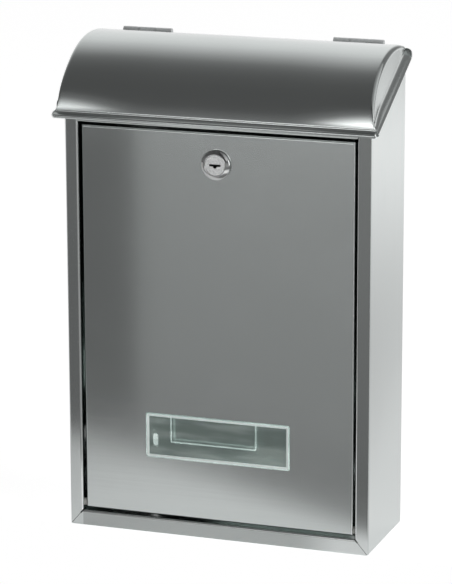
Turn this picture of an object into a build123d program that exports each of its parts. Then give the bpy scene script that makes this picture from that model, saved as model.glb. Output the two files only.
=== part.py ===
from build123d import *
import os
from math import atan2, cos, radians, sin, sqrt, tan

# Wall mounted mailbox of folded stainless sheet, with a pressed hood lid and a drop-down door.
# Millimetres, Z up, the front faces -Y. The origin is on the wall face, amid the fixing slots.

# Box
body_width = 215.0
body_depth = 77.0
front_height = 284.0  # floor to the lower edge of the top rail
mouth_drop = 0.7  # top of the hinge leaves to the rear end of the mouth's slanted edges
sheet = 0.8
bend = 1.5  # outside radius of the folds
side_flange = 9.4
bottom_flange = 11.0
flange_return = 8.0
rear_flange = 10.0
mitre_gap = 0.3
relief_width = 1.0
relief_length = 3.0
rail_return = 5.0

# Fixing slots
slot_spacing_x = 146.0
slot_spacing_z = 240.0
slot_length = 9.0
slot_width = 4.0
slot_height = 42.5  # floor to the lower slots

# Lid
lid_slope = 26.5  # degrees, the rim rises towards the wall
lid_overhang_front = 8.0
lid_overhang_side = 6.0
lid_side_gap = 0.7  # end walls of the lid to the side panels of the box
rim_rise = 3.2  # lower edge of the top rail to the front of the rim
lip_height = 2.4
lip_bend = 1.4
lip_corner = 6.0
lip_ledge = 6.3  # front of the rim to the foot of the crown
root_radius = 2.0  # hollow between the walls and the lip
crown_bulge = 18.7  # of the crown's arc over its chord
crown_rear_rise = 7.8  # rear edge of the crown over the rim
crown_edge = 2.4
seat_gap = 0.7  # crown of the closed lid to the front of the box
lid_ear_corner = 4.0
lid_tail_width = 206.0
lid_tail_depth = 12.0  # hinge line to the lower edge of the lid's rear flange
lid_tail_corner = 4.0

# Lid hinges
hinge_inset = 32.0  # side of the box to the middle of a hinge
hinge_length = 35.0
knuckle_radius = 2.2
knuckle_rise = 0.4  # hinge line over the rear edge of the crown
knuckle_gap = 0.4
wall_gap = 0.1
hinge_pin_radius = 1.2
leaf = 1.0
wall_leaf_depth = 15.0
lid_leaf_depth = 11.0
running_fit = 0.05

# Door
door_gap = 2.0
door_recess = 1.5
door_return = 8.0
door_foot_return = 6.0
pivot_up = 3.2  # door's lower edge to the pivot
pivot_back = 2.5  # door's face to the pivot
pivot_radius = 1.25
pivot_end = 1.2  # free end of the pivot inside the door
pivot_head_radius = 2.2
pivot_head = 1.0
washer_radius = 2.5
play = 0.3  # end play of parts that turn

# Name window
window_width = 103.2
window_height = 31.7
window_up = 53.8  # floor to the lower edge of the window
window_corner = 1.5
window_fit = 0.15
window_proud = 0.6
window_rim = 1.8
window_flange = 2.5
window_flange_thickness = 1.2
pocket_width = 62.0
pocket_height = 20.0
pocket_depth = 9.0
pocket_wall = 1.2
pocket_shift = -3.0  # the card pocket stands off the window's middle
tab_spacing = 84.0  # of the tabs over the window; those under it stand at the pocket's walls
tab_width = 6.0
tab_hook = 2.0

# Lock
lock_drop = 23.3  # lower edge of the top rail to the lock
lock_length = 12.6  # door's face to the cam
bezel_radius = 10.0
bezel_face_radius = 8.2
bezel_proud = 3.0
barrel_radius = 8.0
barrel_flat = 7.0
barrel_fit = 0.1
nut_width = 22.0  # across flats
nut_height = 3.0
plug_radius = 6.0
plug_head_radius = 6.8
plug_head = 1.2
keyway_length = 8.0
keyway_width = 1.5
keyway_depth = 8.0
keyway_notch_radius = 1.3
tang = 6.0  # square on the plug's end
cam_length = 32.0
cam_hub_radius = 8.0
cam_tip_radius = 6.0
cam_thickness = 1.5
cam_gap = 0.6  # cam to the rail's lip
cam_washer_radius = 5.0
cam_washer_thickness = 0.8
screw_radius = 2.0
screw_length = 6.0
screw_head_radius = 3.6
screw_head = 2.4
screw_slot = 1.0

# Levels and lines that the pieces share
floor_z = -(slot_height + slot_spacing_z / 2)
front_y = -body_depth
half_body = body_width / 2
half_opening = half_body - side_flange
half_inside = half_body - sheet
half_sheet = sheet / 2
sill_z = floor_z + bottom_flange
rail_z = floor_z + front_height
blank_height = front_height + body_depth

slope = radians(lid_slope)
rim_y = front_y - lid_overhang_front
rim_z = rail_z + rim_rise
rim_plane = Plane((0, rim_y, rim_z), x_dir=(1, 0, 0), z_dir=(0, -sin(slope), cos(slope)))
rim_axis = Axis(rim_plane.origin, rim_plane.z_dir)

hinge_y = -(wall_gap + knuckle_radius)
lid_rear_y = hinge_y - knuckle_radius - knuckle_gap
crown_foot = (
    rim_y + lip_ledge * cos(slope) - lip_height * sin(slope),
    rim_z + lip_ledge * sin(slope) + lip_height * cos(slope),
)
rim_rear_z = rim_z + (lid_rear_y - rim_y) * tan(slope)
crown_rear = (lid_rear_y, rim_rear_z + crown_rear_rise)
crown = SagittaArc(crown_foot, crown_rear, crown_bulge)
crown_radius = crown.radius
crown_centre = (crown.arc_center.X, crown.arc_center.Y)
hinge_z = crown_rear[1] + knuckle_rise
leaf_top_z = hinge_z - knuckle_radius - knuckle_gap

# The front of the mouth stands where the crown of the closed lid comes down to it
seat_y = front_y - seat_gap
mouth_front_z = crown_centre[1] + sqrt((crown_radius - sheet) ** 2 - (crown_centre[0] - seat_y) ** 2)
mouth_slope = atan2(leaf_top_z - mouth_drop - mouth_front_z, body_depth)
mouth_normal = (0, -sin(mouth_slope), cos(mouth_slope))
mouth_plane = Plane((0, front_y, mouth_front_z), x_dir=(1, 0, 0), z_dir=mouth_normal)


def mouth_z(y):
    """Height of the slanted edge of the box at a depth"""
    return mouth_front_z + (y - front_y) * tan(mouth_slope)


door_y = front_y + door_recess
half_door = half_opening - door_gap
door_foot_z = sill_z + door_gap
door_height = rail_z - door_gap - door_foot_z
pivot_y = door_y + pivot_back
pivot_z = door_foot_z + pivot_up
lock_z = rail_z - lock_drop
cam_y = door_y + lock_length
rail_rear_y = cam_y - cam_gap
window_z = floor_z + window_up
window_top_z = window_z + window_height
window_mid_z = window_z + window_height / 2
window_back_y = door_y + sheet + window_flange_thickness
half_lid_wall = half_body + lid_side_gap + sheet
half_rim = half_body + lid_overhang_side
half_hinges = half_body - hinge_inset
front = Plane.XZ.offset(body_depth)
door_face = Plane.XZ.offset(-door_y)
door_back = door_face.offset(-sheet)
window_back = Plane.XZ.offset(-window_back_y)
bezel_face = door_face.offset(bezel_proud)
cam_face = Plane.XZ.offset(-cam_y)
cam_back = cam_face.offset(-cam_thickness)
washer_back = cam_back.offset(-cam_washer_thickness)
sides = {"left": -1, "right": 1}
near = 0.01
pieces = {}


def beside_opening(edge, reach):
    """Whether an edge runs along the door opening, drawn out by a reach"""
    middle = edge.center()
    return abs(abs(middle.X) - half_opening - reach) < near or abs(middle.Z - sill_z + reach) < near


def hood(inset, ease):
    """Block with the form of the lid, drawn in by an inset, its outer edges eased, long at the rear"""
    rim_length = 2 * (body_depth + crown_radius)
    with BuildPart() as block:
        with BuildSketch(Plane.YZ):
            with Locations(crown_centre):
                Circle(crown_radius - inset)
        extrude(amount=half_lid_wall - inset, both=True)
        split(bisect_by=rim_plane, keep=Keep.TOP)
        ease(block.edges().filter_by(GeomType.CIRCLE), crown_edge - inset)
        with BuildSketch(rim_plane):
            with Locations((0, rim_length / 2)):
                RectangleRounded(2 * (half_rim - inset), rim_length - 2 * inset, lip_corner - inset)
        extrude(amount=lip_height - inset)
        lip_top = block.faces().filter_by(rim_plane).sort_by(rim_axis)[-1]
        fillet(lip_top.inner_wires().edges(), root_radius + inset)
        lip_top = block.faces().filter_by(rim_plane).sort_by(rim_axis)[-1]
        ease(lip_top.outer_wire().edges(), lip_bend - inset)
    return block.part


# Lid: pressed shell cut off at the rear, with a flange for the hinges and ears that end the lip
outer_hood = hood(0, fillet)
inner_hood = hood(sheet, chamfer)
lid_rear = Plane.XZ.offset(-lid_rear_y)
ear_width = half_rim - half_lid_wall + sheet
with BuildPart() as lid:
    add(outer_hood)
    add(inner_hood, mode=Mode.SUBTRACT)
    split(bisect_by=lid_rear, keep=Keep.TOP)
    with BuildSketch(lid_rear):
        with Locations((0, crown_rear[1] - half_sheet)):
            tail = Rectangle(
                lid_tail_width,
                lid_tail_depth - knuckle_rise - half_sheet,
                align=(Align.CENTER, Align.MAX),
            )
        fillet(tail.vertices().group_by(Axis.Y)[0], lid_tail_corner)
    extrude(amount=sheet)
    with BuildSketch(lid_rear):
        for side in sides.values():
            with Locations((side * (half_rim - ear_width / 2), rim_rear_z)):
                ear = Rectangle(ear_width, crown_rear_rise - crown_edge, align=(Align.CENTER, Align.MIN))
            outward = Axis((0, 0, 0), (side, 0, 0))
            fillet(ear.vertices().group_by(Axis.Y)[-1].sort_by(outward)[-1], lid_ear_corner)
    extrude(amount=sheet)
pieces["lid"] = lid

# Box wrap: sides, floor and front flanges folded from one sheet, mitred at the lower corners
with BuildPart() as body_wrap:
    with BuildSketch(Plane.XZ):
        with Locations((0, floor_z)):
            Rectangle(body_width, blank_height, align=(Align.CENTER, Align.MIN))
    extrude(amount=body_depth)
    fillet(body_wrap.edges().filter_by(Axis.Y).group_by(Axis.Z)[0], bend)
    fillet(body_wrap.faces().sort_by(Axis.Y)[0].edges().sort_by(Axis.Z)[:-1], bend)
    open_faces = [body_wrap.faces().sort_by(Axis.Y)[-1], body_wrap.faces().sort_by(Axis.Z)[-1]]
    offset(amount=-sheet, openings=open_faces)
    with BuildSketch(front):
        with Locations((0, sill_z)):
            Rectangle(2 * half_opening, blank_height, align=(Align.CENTER, Align.MIN))
    extrude(amount=-flange_return, mode=Mode.SUBTRACT)
    with BuildSketch(front):
        with Locations((0, sill_z - sheet)):
            Rectangle(2 * (half_opening + sheet), blank_height, align=(Align.CENTER, Align.MIN))
        with Locations((0, sill_z)):
            Rectangle(2 * half_opening, blank_height, align=(Align.CENTER, Align.MIN), mode=Mode.SUBTRACT)
    extrude(amount=-flange_return)
    split(bisect_by=mouth_plane, keep=Keep.BOTTOM)
    back_y = front_y + sheet
    fold_backs = body_wrap.edges().filter_by_position(Axis.Y, back_y - near, back_y + near)
    fillet(fold_backs.filter_by(lambda edge: beside_opening(edge, sheet)), bend - sheet)
    fold_fronts = body_wrap.edges().filter_by_position(Axis.Y, front_y - near, front_y + near)
    fillet(fold_fronts.filter_by(lambda edge: beside_opening(edge, 0)), bend)
    with BuildSketch(front):
        for side in sides.values():
            inner = Vector(side * half_opening, sill_z)
            outer = Vector(side * half_body, floor_z)
            along = (outer - inner).normalized()
            with BuildLine():
                Line(inner, outer - along * bend)
            trace(line_width=mitre_gap)
            with BuildLine():
                Line(inner - along * relief_width, inner + along * relief_length)
            trace(line_width=relief_width)
    extrude(amount=-flange_return, mode=Mode.SUBTRACT)
    with BuildSketch(Plane.YZ):
        with Locations((pivot_y, pivot_z)):
            Circle(pivot_radius)
    extrude(amount=half_opening + 2 * sheet, both=True, mode=Mode.SUBTRACT)
pieces["body_wrap"] = body_wrap

# Back panel: tray whose flanges lie inside the wrap, with the slots for the wall screws
with BuildPart() as back_panel:
    with BuildSketch(Plane.XZ):
        with Locations((0, floor_z + sheet)):
            Rectangle(2 * half_inside, leaf_top_z - floor_z - sheet, align=(Align.CENTER, Align.MIN))
    extrude(amount=rear_flange)
    chamfer(back_panel.edges().filter_by(Axis.Y).group_by(Axis.Z)[0], bend)
    fillet(back_panel.faces().sort_by(Axis.Y)[-1].edges().sort_by(Axis.Z)[:-1], bend)
    open_faces = [back_panel.faces().sort_by(Axis.Y)[0], back_panel.faces().sort_by(Axis.Z)[-1]]
    offset(amount=-sheet, openings=open_faces)
    split(bisect_by=mouth_plane, keep=Keep.BOTTOM)
    with BuildSketch(Plane.XZ):
        with GridLocations(slot_spacing_x, slot_spacing_z, 2, 2):
            SlotOverall(slot_length, slot_width, rotation=90)
    extrude(amount=sheet, mode=Mode.SUBTRACT)
pieces["back_panel"] = back_panel

# Top rail: folded channel over the door, its top in the slanted plane of the mouth, its rear edge
# turned down for the cam to catch behind
with BuildPart() as top_rail:
    with BuildSketch(Plane.YZ):
        top_drop = half_sheet / cos(mouth_slope)
        rail_front = front_y + half_sheet
        rail_rear = rail_rear_y - half_sheet
        with BuildLine():
            FilletPolyline(
                (front_y + rail_return, rail_z + half_sheet),
                (rail_front, rail_z + half_sheet),
                (rail_front, mouth_z(rail_front) - top_drop),
                (rail_rear, mouth_z(rail_rear) - top_drop),
                (rail_rear, rail_z),
                radius=bend - half_sheet,
            )
        trace(line_width=sheet)
    extrude(amount=half_inside, both=True)
    with BuildSketch(Plane.XY.offset(rail_z)):
        for side in sides.values():
            with Locations((side * (half_opening + side_flange / 2), front_y)):
                Rectangle(side_flange, flange_return, align=(Align.CENTER, Align.MIN))
    extrude(amount=blank_height, mode=Mode.SUBTRACT)
pieces["top_rail"] = top_rail

# Lid hinges: a leaf on the back panel, a leaf on the lid's rear flange and a pin through their knuckles
knuckle = (hinge_length - 2 * knuckle_gap) / 3
for name, side in sides.items():
    hinge_start = Plane.YZ.offset(side * half_hinges - hinge_length / 2)
    middle = hinge_start.offset(knuckle + knuckle_gap)
    with BuildPart() as wall_leaf:
        with BuildSketch(hinge_start):
            with Locations((hinge_y, hinge_z)):
                Circle(knuckle_radius)
            with Locations((-sheet, hinge_z)):
                Rectangle(leaf, wall_leaf_depth, align=(Align.MAX, Align.MAX))
            with Locations((hinge_y, hinge_z)):
                Circle(hinge_pin_radius, mode=Mode.SUBTRACT)
        extrude(amount=hinge_length)
        with BuildSketch(middle.offset(-knuckle_gap)):
            with Locations((hinge_y, leaf_top_z)):
                Rectangle(4 * knuckle_radius, 4 * knuckle_radius, align=(Align.CENTER, Align.MIN))
        extrude(amount=knuckle + 2 * knuckle_gap, mode=Mode.SUBTRACT)
    pieces[f"hinge_leaf_wall_{name}"] = wall_leaf
    with BuildPart() as lid_leaf:
        with BuildSketch(hinge_start):
            with Locations((lid_rear_y, leaf_top_z)):
                Rectangle(leaf, lid_leaf_depth - knuckle_radius - knuckle_gap, align=(Align.MIN, Align.MAX))
        extrude(amount=hinge_length)
        with BuildSketch(middle):
            with Locations((hinge_y, hinge_z)):
                Circle(knuckle_radius)
            with Locations((lid_rear_y, leaf_top_z)):
                Rectangle(leaf, hinge_z - leaf_top_z, align=(Align.MIN, Align.MIN))
            with Locations((hinge_y, hinge_z)):
                Circle(hinge_pin_radius + running_fit, mode=Mode.SUBTRACT)
        extrude(amount=knuckle)
    pieces[f"hinge_leaf_lid_{name}"] = lid_leaf
    with BuildPart() as hinge_pin:
        with BuildSketch(hinge_start):
            with Locations((hinge_y, hinge_z)):
                Circle(hinge_pin_radius)
        extrude(amount=hinge_length)
    pieces[f"hinge_pin_{name}"] = hinge_pin

# Door: shallow tray with folded edges, open at its corners, and tabs that clasp the window
foot_tabs = [(pocket_shift + side * pocket_width / 2, window_z, 1) for side in sides.values()]
top_tabs = [(side * tab_spacing / 2, window_top_z, -1) for side in sides.values()]
with BuildPart() as door_panel:
    with BuildSketch(door_face):
        with Locations((0, door_foot_z)):
            Rectangle(2 * half_door, door_height, align=(Align.CENTER, Align.MIN))
    extrude(amount=-door_return)
    fillet(door_panel.faces().sort_by(Axis.Y)[0].edges(), bend)
    offset(amount=-sheet, openings=door_panel.faces().sort_by(Axis.Y)[-1])
    with BuildSketch(door_face.offset(-door_foot_return)):
        with Locations((0, door_foot_z)):
            Rectangle(2 * (half_door - bend - relief_width), 2 * bend, align=(Align.CENTER, Align.MIN))
    extrude(amount=-door_return, mode=Mode.SUBTRACT)
    with BuildSketch(door_face.offset(-bend)):
        with Locations((0, door_foot_z + door_height / 2)):
            with GridLocations(2 * half_door, door_height, 2, 2):
                Rectangle(2 * (bend + relief_width), 2 * bend)
    extrude(amount=-door_return, mode=Mode.SUBTRACT)
    with BuildSketch(door_face):
        with Locations((0, lock_z)):
            Circle(barrel_radius + barrel_fit)
            Rectangle(2 * bezel_radius, 2 * (barrel_flat + barrel_fit), mode=Mode.INTERSECT)
        with Locations((0, window_mid_z)):
            RectangleRounded(window_width, window_height, window_corner)
    extrude(amount=-sheet, mode=Mode.SUBTRACT)
    for tab_x, edge_z, up in foot_tabs + top_tabs:
        with BuildSketch(Plane.YZ.offset(tab_x - tab_width / 2)):
            with BuildLine():
                Polyline(
                    (door_y + half_sheet, edge_z - up * half_sheet),
                    (window_back_y + half_sheet, edge_z - up * half_sheet),
                    (window_back_y + half_sheet, edge_z + up * tab_hook),
                )
            trace(line_width=sheet)
        extrude(amount=tab_width)
    with BuildSketch(Plane.YZ):
        with Locations((pivot_y, pivot_z)):
            Circle(pivot_radius + running_fit)
    extrude(amount=half_body, both=True, mode=Mode.SUBTRACT)
pieces["door_panel"] = door_panel

# Door pivots: a headed stud in each flange return, and a washer on it that keeps the door central
for name, side in sides.items():
    pivot_tip = side * (half_door - sheet - pivot_end)
    with BuildPart() as pivot:
        with BuildSketch(Plane.YZ.offset(pivot_tip)):
            with Locations((pivot_y, pivot_z)):
                Circle(pivot_radius)
        extrude(amount=side * (half_opening + sheet) - pivot_tip)
        with BuildSketch(Plane.YZ.offset(side * (half_opening + sheet))):
            with Locations((pivot_y, pivot_z)):
                Circle(pivot_head_radius)
        extrude(amount=side * pivot_head)
    pieces[f"door_pivot_{name}"] = pivot
    with BuildPart() as pivot_washer:
        with BuildSketch(Plane.YZ.offset(side * (half_door + play))):
            with Locations((pivot_y, pivot_z)):
                Circle(washer_radius)
                Circle(pivot_radius, mode=Mode.SUBTRACT)
        extrude(amount=side * (door_gap - play))
    pieces[f"pivot_washer_{name}"] = pivot_washer

# Name window: clear moulding set in from behind, with a raised rim and a card pocket on its back
with BuildPart() as name_window:
    with BuildSketch(door_face.offset(window_proud)):
        with Locations((0, window_mid_z)):
            RectangleRounded(
                window_width - 2 * window_fit, window_height - 2 * window_fit, window_corner - window_fit
            )
    extrude(amount=-(window_proud + sheet))
    chamfer(name_window.faces().sort_by(Axis.Y)[0].edges(), window_proud / 2)
    with BuildSketch(door_face.offset(window_proud)):
        with Locations((0, window_mid_z)):
            Rectangle(window_width - 2 * window_rim, window_height - 2 * window_rim)
    extrude(amount=-window_proud, mode=Mode.SUBTRACT)
    with BuildSketch(door_back):
        with Locations((0, window_mid_z)):
            RectangleRounded(
                window_width + 2 * window_flange,
                window_height + 2 * window_flange,
                window_corner + window_flange,
            )
        for tab_x, edge_z, up in foot_tabs + top_tabs:
            with Locations((tab_x, edge_z + up * (window_fit - window_flange) / 2)):
                Rectangle(tab_width + 2 * window_fit, window_flange + window_fit, mode=Mode.SUBTRACT)
    extrude(amount=-window_flange_thickness)
    with BuildSketch(window_back):
        with Locations((pocket_shift, window_top_z)):
            Rectangle(pocket_width, pocket_height, align=(Align.CENTER, Align.MAX))
            Rectangle(
                pocket_width - 2 * pocket_wall,
                pocket_height - pocket_wall,
                align=(Align.CENTER, Align.MAX),
                mode=Mode.SUBTRACT,
            )
    extrude(amount=-pocket_depth)
pieces["name_window"] = name_window

# Lock housing: conical bezel on the door's face and a barrel with two flats through the sheet
with BuildPart() as lock_housing:
    with BuildSketch(bezel_face):
        with Locations((0, lock_z)):
            Circle(bezel_face_radius)
    with BuildSketch(door_face):
        with Locations((0, lock_z)):
            Circle(bezel_radius)
    loft()
    with BuildSketch(door_face):
        with Locations((0, lock_z)):
            Circle(barrel_radius)
            Rectangle(2 * bezel_radius, 2 * barrel_flat, mode=Mode.INTERSECT)
    extrude(amount=-(lock_length - play))
    with BuildSketch(bezel_face):
        with Locations((0, lock_z)):
            Circle(plug_radius + running_fit)
    extrude(amount=-(bezel_proud + lock_length), mode=Mode.SUBTRACT)
    with BuildSketch(bezel_face):
        with Locations((0, lock_z)):
            Circle(plug_head_radius + running_fit)
    extrude(amount=-(plug_head + play), mode=Mode.SUBTRACT)
pieces["lock_housing"] = lock_housing

# Lock nut: holds the housing against the back of the door
with BuildPart() as lock_nut:
    with BuildSketch(door_back):
        with Locations((0, lock_z)):
            RegularPolygon(nut_width / 2, 6, major_radius=False)
            Circle(barrel_radius, mode=Mode.SUBTRACT)
    extrude(amount=-nut_height)
pieces["lock_nut"] = lock_nut

# Lock plug: head with a level keyway, and a square tang that drives the cam
with BuildPart() as lock_plug:
    with BuildSketch(bezel_face):
        with Locations((0, lock_z)):
            Circle(plug_head_radius)
    extrude(amount=-plug_head)
    with BuildSketch(bezel_face):
        with Locations((0, lock_z)):
            Circle(plug_radius)
    extrude(amount=-(bezel_proud + lock_length))
    with BuildSketch(cam_face):
        with Locations((0, lock_z)):
            Rectangle(tang, tang)
    extrude(amount=-cam_thickness)
    with BuildSketch(bezel_face):
        with Locations((0, lock_z)):
            Rectangle(keyway_length, keyway_width)
        with Locations((0, lock_z - keyway_width / 2)):
            Circle(keyway_notch_radius)
    extrude(amount=-keyway_depth, mode=Mode.SUBTRACT)
    with BuildSketch(cam_back):
        with Locations((0, lock_z)):
            Circle(screw_radius)
    extrude(amount=screw_length, mode=Mode.SUBTRACT)
pieces["lock_plug"] = lock_plug

# Cam: lies level while the door is free, and turns up behind the rail's lip to lock it
with BuildPart() as lock_cam:
    with BuildSketch(cam_face):
        with Locations((0, lock_z)):
            Circle(cam_hub_radius)
        with Locations((cam_tip_radius - cam_length, lock_z)):
            Circle(cam_tip_radius)
        make_hull()
        with Locations((0, lock_z)):
            Rectangle(tang, tang, mode=Mode.SUBTRACT)
    extrude(amount=-cam_thickness)
pieces["lock_cam"] = lock_cam

# Washer and slotted screw that hold the cam on its tang
with BuildPart() as cam_washer:
    with BuildSketch(cam_back):
        with Locations((0, lock_z)):
            Circle(cam_washer_radius)
            Circle(screw_radius, mode=Mode.SUBTRACT)
    extrude(amount=-cam_washer_thickness)
pieces["cam_washer"] = cam_washer

with BuildPart() as cam_screw:
    with BuildSketch(washer_back):
        with Locations((0, lock_z)):
            Circle(screw_radius)
    extrude(amount=cam_washer_thickness + screw_length)
    with BuildSketch(washer_back):
        with Locations((0, lock_z)):
            Circle(screw_head_radius)
    extrude(amount=-screw_head)
    with BuildSketch(washer_back.offset(-screw_head)):
        with Locations((0, lock_z)):
            Rectangle(2 * screw_head_radius, screw_slot)
    extrude(amount=screw_head / 2, mode=Mode.SUBTRACT)
pieces["cam_screw"] = cam_screw

os.makedirs("parts", exist_ok=True)
for name, piece in pieces.items():
    piece.part.label = name
    export_step(piece.part, f"parts/{name}.step")
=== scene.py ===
"""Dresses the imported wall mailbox: brushed sheet, pressed lid, lock, clear window, and a plain studio."""

from math import acos, asin, cos, pi, radians, sin, tan
from types import SimpleNamespace

import bpy
import numpy as np
from bpy.props import FloatProperty, FloatVectorProperty, PointerProperty
from mathutils import Matrix, Vector


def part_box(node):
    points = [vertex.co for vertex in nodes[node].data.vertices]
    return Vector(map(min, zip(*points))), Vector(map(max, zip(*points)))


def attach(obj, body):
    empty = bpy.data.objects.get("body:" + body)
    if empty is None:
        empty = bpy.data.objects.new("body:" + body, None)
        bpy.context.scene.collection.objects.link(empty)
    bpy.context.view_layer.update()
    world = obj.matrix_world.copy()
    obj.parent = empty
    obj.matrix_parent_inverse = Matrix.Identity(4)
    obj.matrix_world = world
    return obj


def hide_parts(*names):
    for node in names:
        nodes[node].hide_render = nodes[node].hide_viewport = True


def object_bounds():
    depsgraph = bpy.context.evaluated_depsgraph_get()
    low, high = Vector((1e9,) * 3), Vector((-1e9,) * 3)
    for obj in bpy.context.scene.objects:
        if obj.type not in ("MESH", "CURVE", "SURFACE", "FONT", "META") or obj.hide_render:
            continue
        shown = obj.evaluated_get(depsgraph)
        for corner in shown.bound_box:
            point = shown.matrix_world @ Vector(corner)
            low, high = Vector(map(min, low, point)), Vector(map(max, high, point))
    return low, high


bl_info = {
    "name": "Wall mailbox",
    "version": (1, 0, 0),
    "blender": (4, 5, 0),
    "location": "View3D > Sidebar > Mailbox",
    "description": "Dresses a wall mailbox of brushed sheet around its packed solids",
    "category": "Object",
}

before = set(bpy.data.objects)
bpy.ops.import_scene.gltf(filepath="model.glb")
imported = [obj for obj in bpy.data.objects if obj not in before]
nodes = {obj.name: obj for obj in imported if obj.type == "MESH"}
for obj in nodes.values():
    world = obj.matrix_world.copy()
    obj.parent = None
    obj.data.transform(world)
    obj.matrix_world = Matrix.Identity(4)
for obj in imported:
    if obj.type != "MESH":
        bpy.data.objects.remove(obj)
cad_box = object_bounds()
MM = 0.001
WHITE = (1.0, 1.0, 1.0, 1.0)

# Scratches in a metre across the grain of the brushed sheet
SCRATCHES = 2400.0


# Properties


def length(name, description, value):
    """Length property in millimetres"""
    return FloatProperty(name=name, description=description, unit="LENGTH", precision=6, default=value * MM)


def angle(name, description, degrees):
    """Angle property in degrees"""
    return FloatProperty(name=name, description=description, subtype="ANGLE", default=radians(degrees))


def factor(name, description, value):
    """Property of a plain number"""
    return FloatProperty(name=name, description=description, subtype="FACTOR", default=value)


def tint(name, description, value):
    """Colour property"""
    return FloatVectorProperty(name=name, description=description, subtype="COLOR", default=value)


def spot(name, description, value):
    """Property of a place in metres"""
    return FloatVectorProperty(
        name=name, description=description, subtype="TRANSLATION", unit="LENGTH", default=value
    )


class SheetFinish(bpy.types.PropertyGroup):
    """Finish of the brushed sheet that the box, the door and the lid are folded and pressed from"""

    bright: tint("Bright streaks", "Colour along the bright streaks of the grain", (0.608, 0.638, 0.631))
    dull_and_shaded: tint("Dull streaks", "Colour along the dull streaks of the grain", (0.590, 0.620, 0.613))
    roughness: factor("Roughness", "Middle roughness of the sheet", 0.165)
    streaking: factor("Streaking", "How much rougher the dull streaks are than the bright ones", 0.016)
    smearing: factor("Smearing", "How much rougher the smears of handling are", 0.012)
    spread: factor("Spread", "How far the grain spreads a reflection across itself", 0.55)
    grain_depth: length("Grain depth", "Depth of the brushing's scratches", 0.004)


class FrontFrame(bpy.types.PropertyGroup):
    """Sizes of the box's front frame, which fit the box's solid, and the colours of the shade, light and
    highlights painted on it
    """

    flange: length("Flange", "Height of the lower front flange", 11.0)
    strip: length("Strip", "Width of the front flanges beside the door", 9.4)
    # fold is the width of the painted highlight along a fold, and face the depth from the front that takes
    # the painted shade and highlights
    fold: length("Fold", "Width of the burnished line along a fold", 0.9)
    face: length("Face", "Depth from the front that takes the frame's tones", 0.4)
    # The foot of the right flange is painted lighter between these heights, as painted light
    foot_start: length("Foot start", "Height up to which the foot of the right flange is light", 8.0)
    foot_end: length("Foot end", "Height at which that lightness ends", 24.0)
    # The first colour is the painted shade of the front frame, the next keeps the left flange lighter, and
    # the third is painted light at the right flange's foot
    dull_and_shaded: tint("Dull", "Colour of the frame", (0.42, 0.44, 0.435))
    left: tint("Left", "Colour of the left flange", (0.59, 0.615, 0.61))
    foot: tint("Foot", "Colour of the foot of the right flange", (0.66, 0.685, 0.68))
    # Painted highlight along the folds round the door
    painted_fold_highlight: tint("Burnished", "Colour of the folds round the door", (0.95, 0.97, 0.965))


class LidPressing(bpy.types.PropertyGroup):
    """Sizes of the pressed lid, which fit the lid's solid"""

    slope: angle("Slope", "Rise of the rim towards the wall", 26.5)
    lip_height: length("Lip height", "Height of the turned-down lip", 2.1)
    lip_bend: length("Lip bend", "Radius of the lip's upper edge", 1.1)
    lip_corner: length("Lip corner", "Radius of the lip's front corners", 2.8)
    crown_radius: length("Crown radius", "Radius of the crown's arc", 61.52)
    crown_depth: length("Crown depth", "Front of the rim to the crown's axis", 62.02)
    crown_drop: length("Crown drop", "Front of the rim down to the crown's axis", 11.06)
    crown_edge: length("Crown edge", "Reach across of the edge between the crown and an end wall", 3.2)
    crown_edge_fall: length("Crown edge fall", "Height of that edge", 3.2)
    wall: length("Wall", "Middle of the lid to the upper edge of an end wall", 108.9)
    draft: length("Draft", "How far an end wall leans out towards the lip", 0.6)
    root: length("Root", "Radius of the hollow above the front of the lip", 1.5)
    flare_angle: angle("Flare angle", "How far an end wall turns outwards above the lip", 50)
    side_angle: angle("Side angle", "How far the lip leans out along an end wall", 25)
    splay: length("Splay", "How far the end walls spread at the crown's foot", 1.4)
    splay_end: length("Splay end", "Arc from the crown's foot to the end of that spreading", 38.0)
    tuck: length("Tuck", "Radius of the crown's foot", 2.2)
    tuck_angle: angle("Tuck angle", "How far the crown's foot turns under", 10)
    bulge: length("Bulge", "How far the pressing swells over the crown's foot at its corners", 2.6)
    bulge_start: length("Bulge start", "Middle of the lid to where the swelling starts", 45.0)
    bulge_rise: length("Bulge rise", "Arc from the crown's foot to the height of the swelling", 20.0)
    bulge_end: length("Bulge end", "Arc from the crown's foot to the end of the swelling", 85.0)
    sheet: length("Sheet", "Thickness of the lid", 0.8)
    tail_width: length("Tail width", "Width of the rear flange", 206.0)
    tail_depth: length("Tail depth", "Height of the rear flange", 11.2)
    tail_corner: length("Tail corner", "Radius of the rear flange's lower corners", 4.0)
    ear_width: length("Ear width", "Width of the plates that end the lip", 5.3)
    ear_height: length("Ear height", "Height of those plates", 6.0)
    ear_corner: length("Ear corner", "Radius of their upper outer corners", 4.0)
    ear_lean: factor("Ear lean", "Slope of their fronts", 0.2)
    crease: angle("Crease", "Angle between faces from which an edge looks sharp", 50)


class WindowMoulding(bpy.types.PropertyGroup):
    """Sizes of the name window's beads, which fit the window's solid"""

    width: length("Width", "Width of the window in the door's face", 102.9)
    height: length("Height", "Height of the window in the door's face", 31.4)
    corner: length("Corner", "Radius of the beads' corners", 0.8)
    bead: length("Rim bead", "Half the width of the rim's bead", 1.15)
    proud: length("Proud", "How far the rim stands out of the door", 0.6)
    cover: length("Cover", "How far the rim's bead stands over the rim", 0.05)
    pocket_width: length("Pocket width", "Between the middles of the card pocket's walls", 60.8)
    pocket_height: length("Pocket height", "Top of the window to the foot of the card pocket", 19.4)
    pocket_shift: length("Pocket shift", "Middle of the window to the middle of the card pocket", -3.0)
    ledge: length("Ledge", "Depth of the bead inside the card pocket", 5.0)
    pocket_bead: length("Pocket bead", "Half the width of the beads along the card pocket's edges", 0.6)


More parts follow.
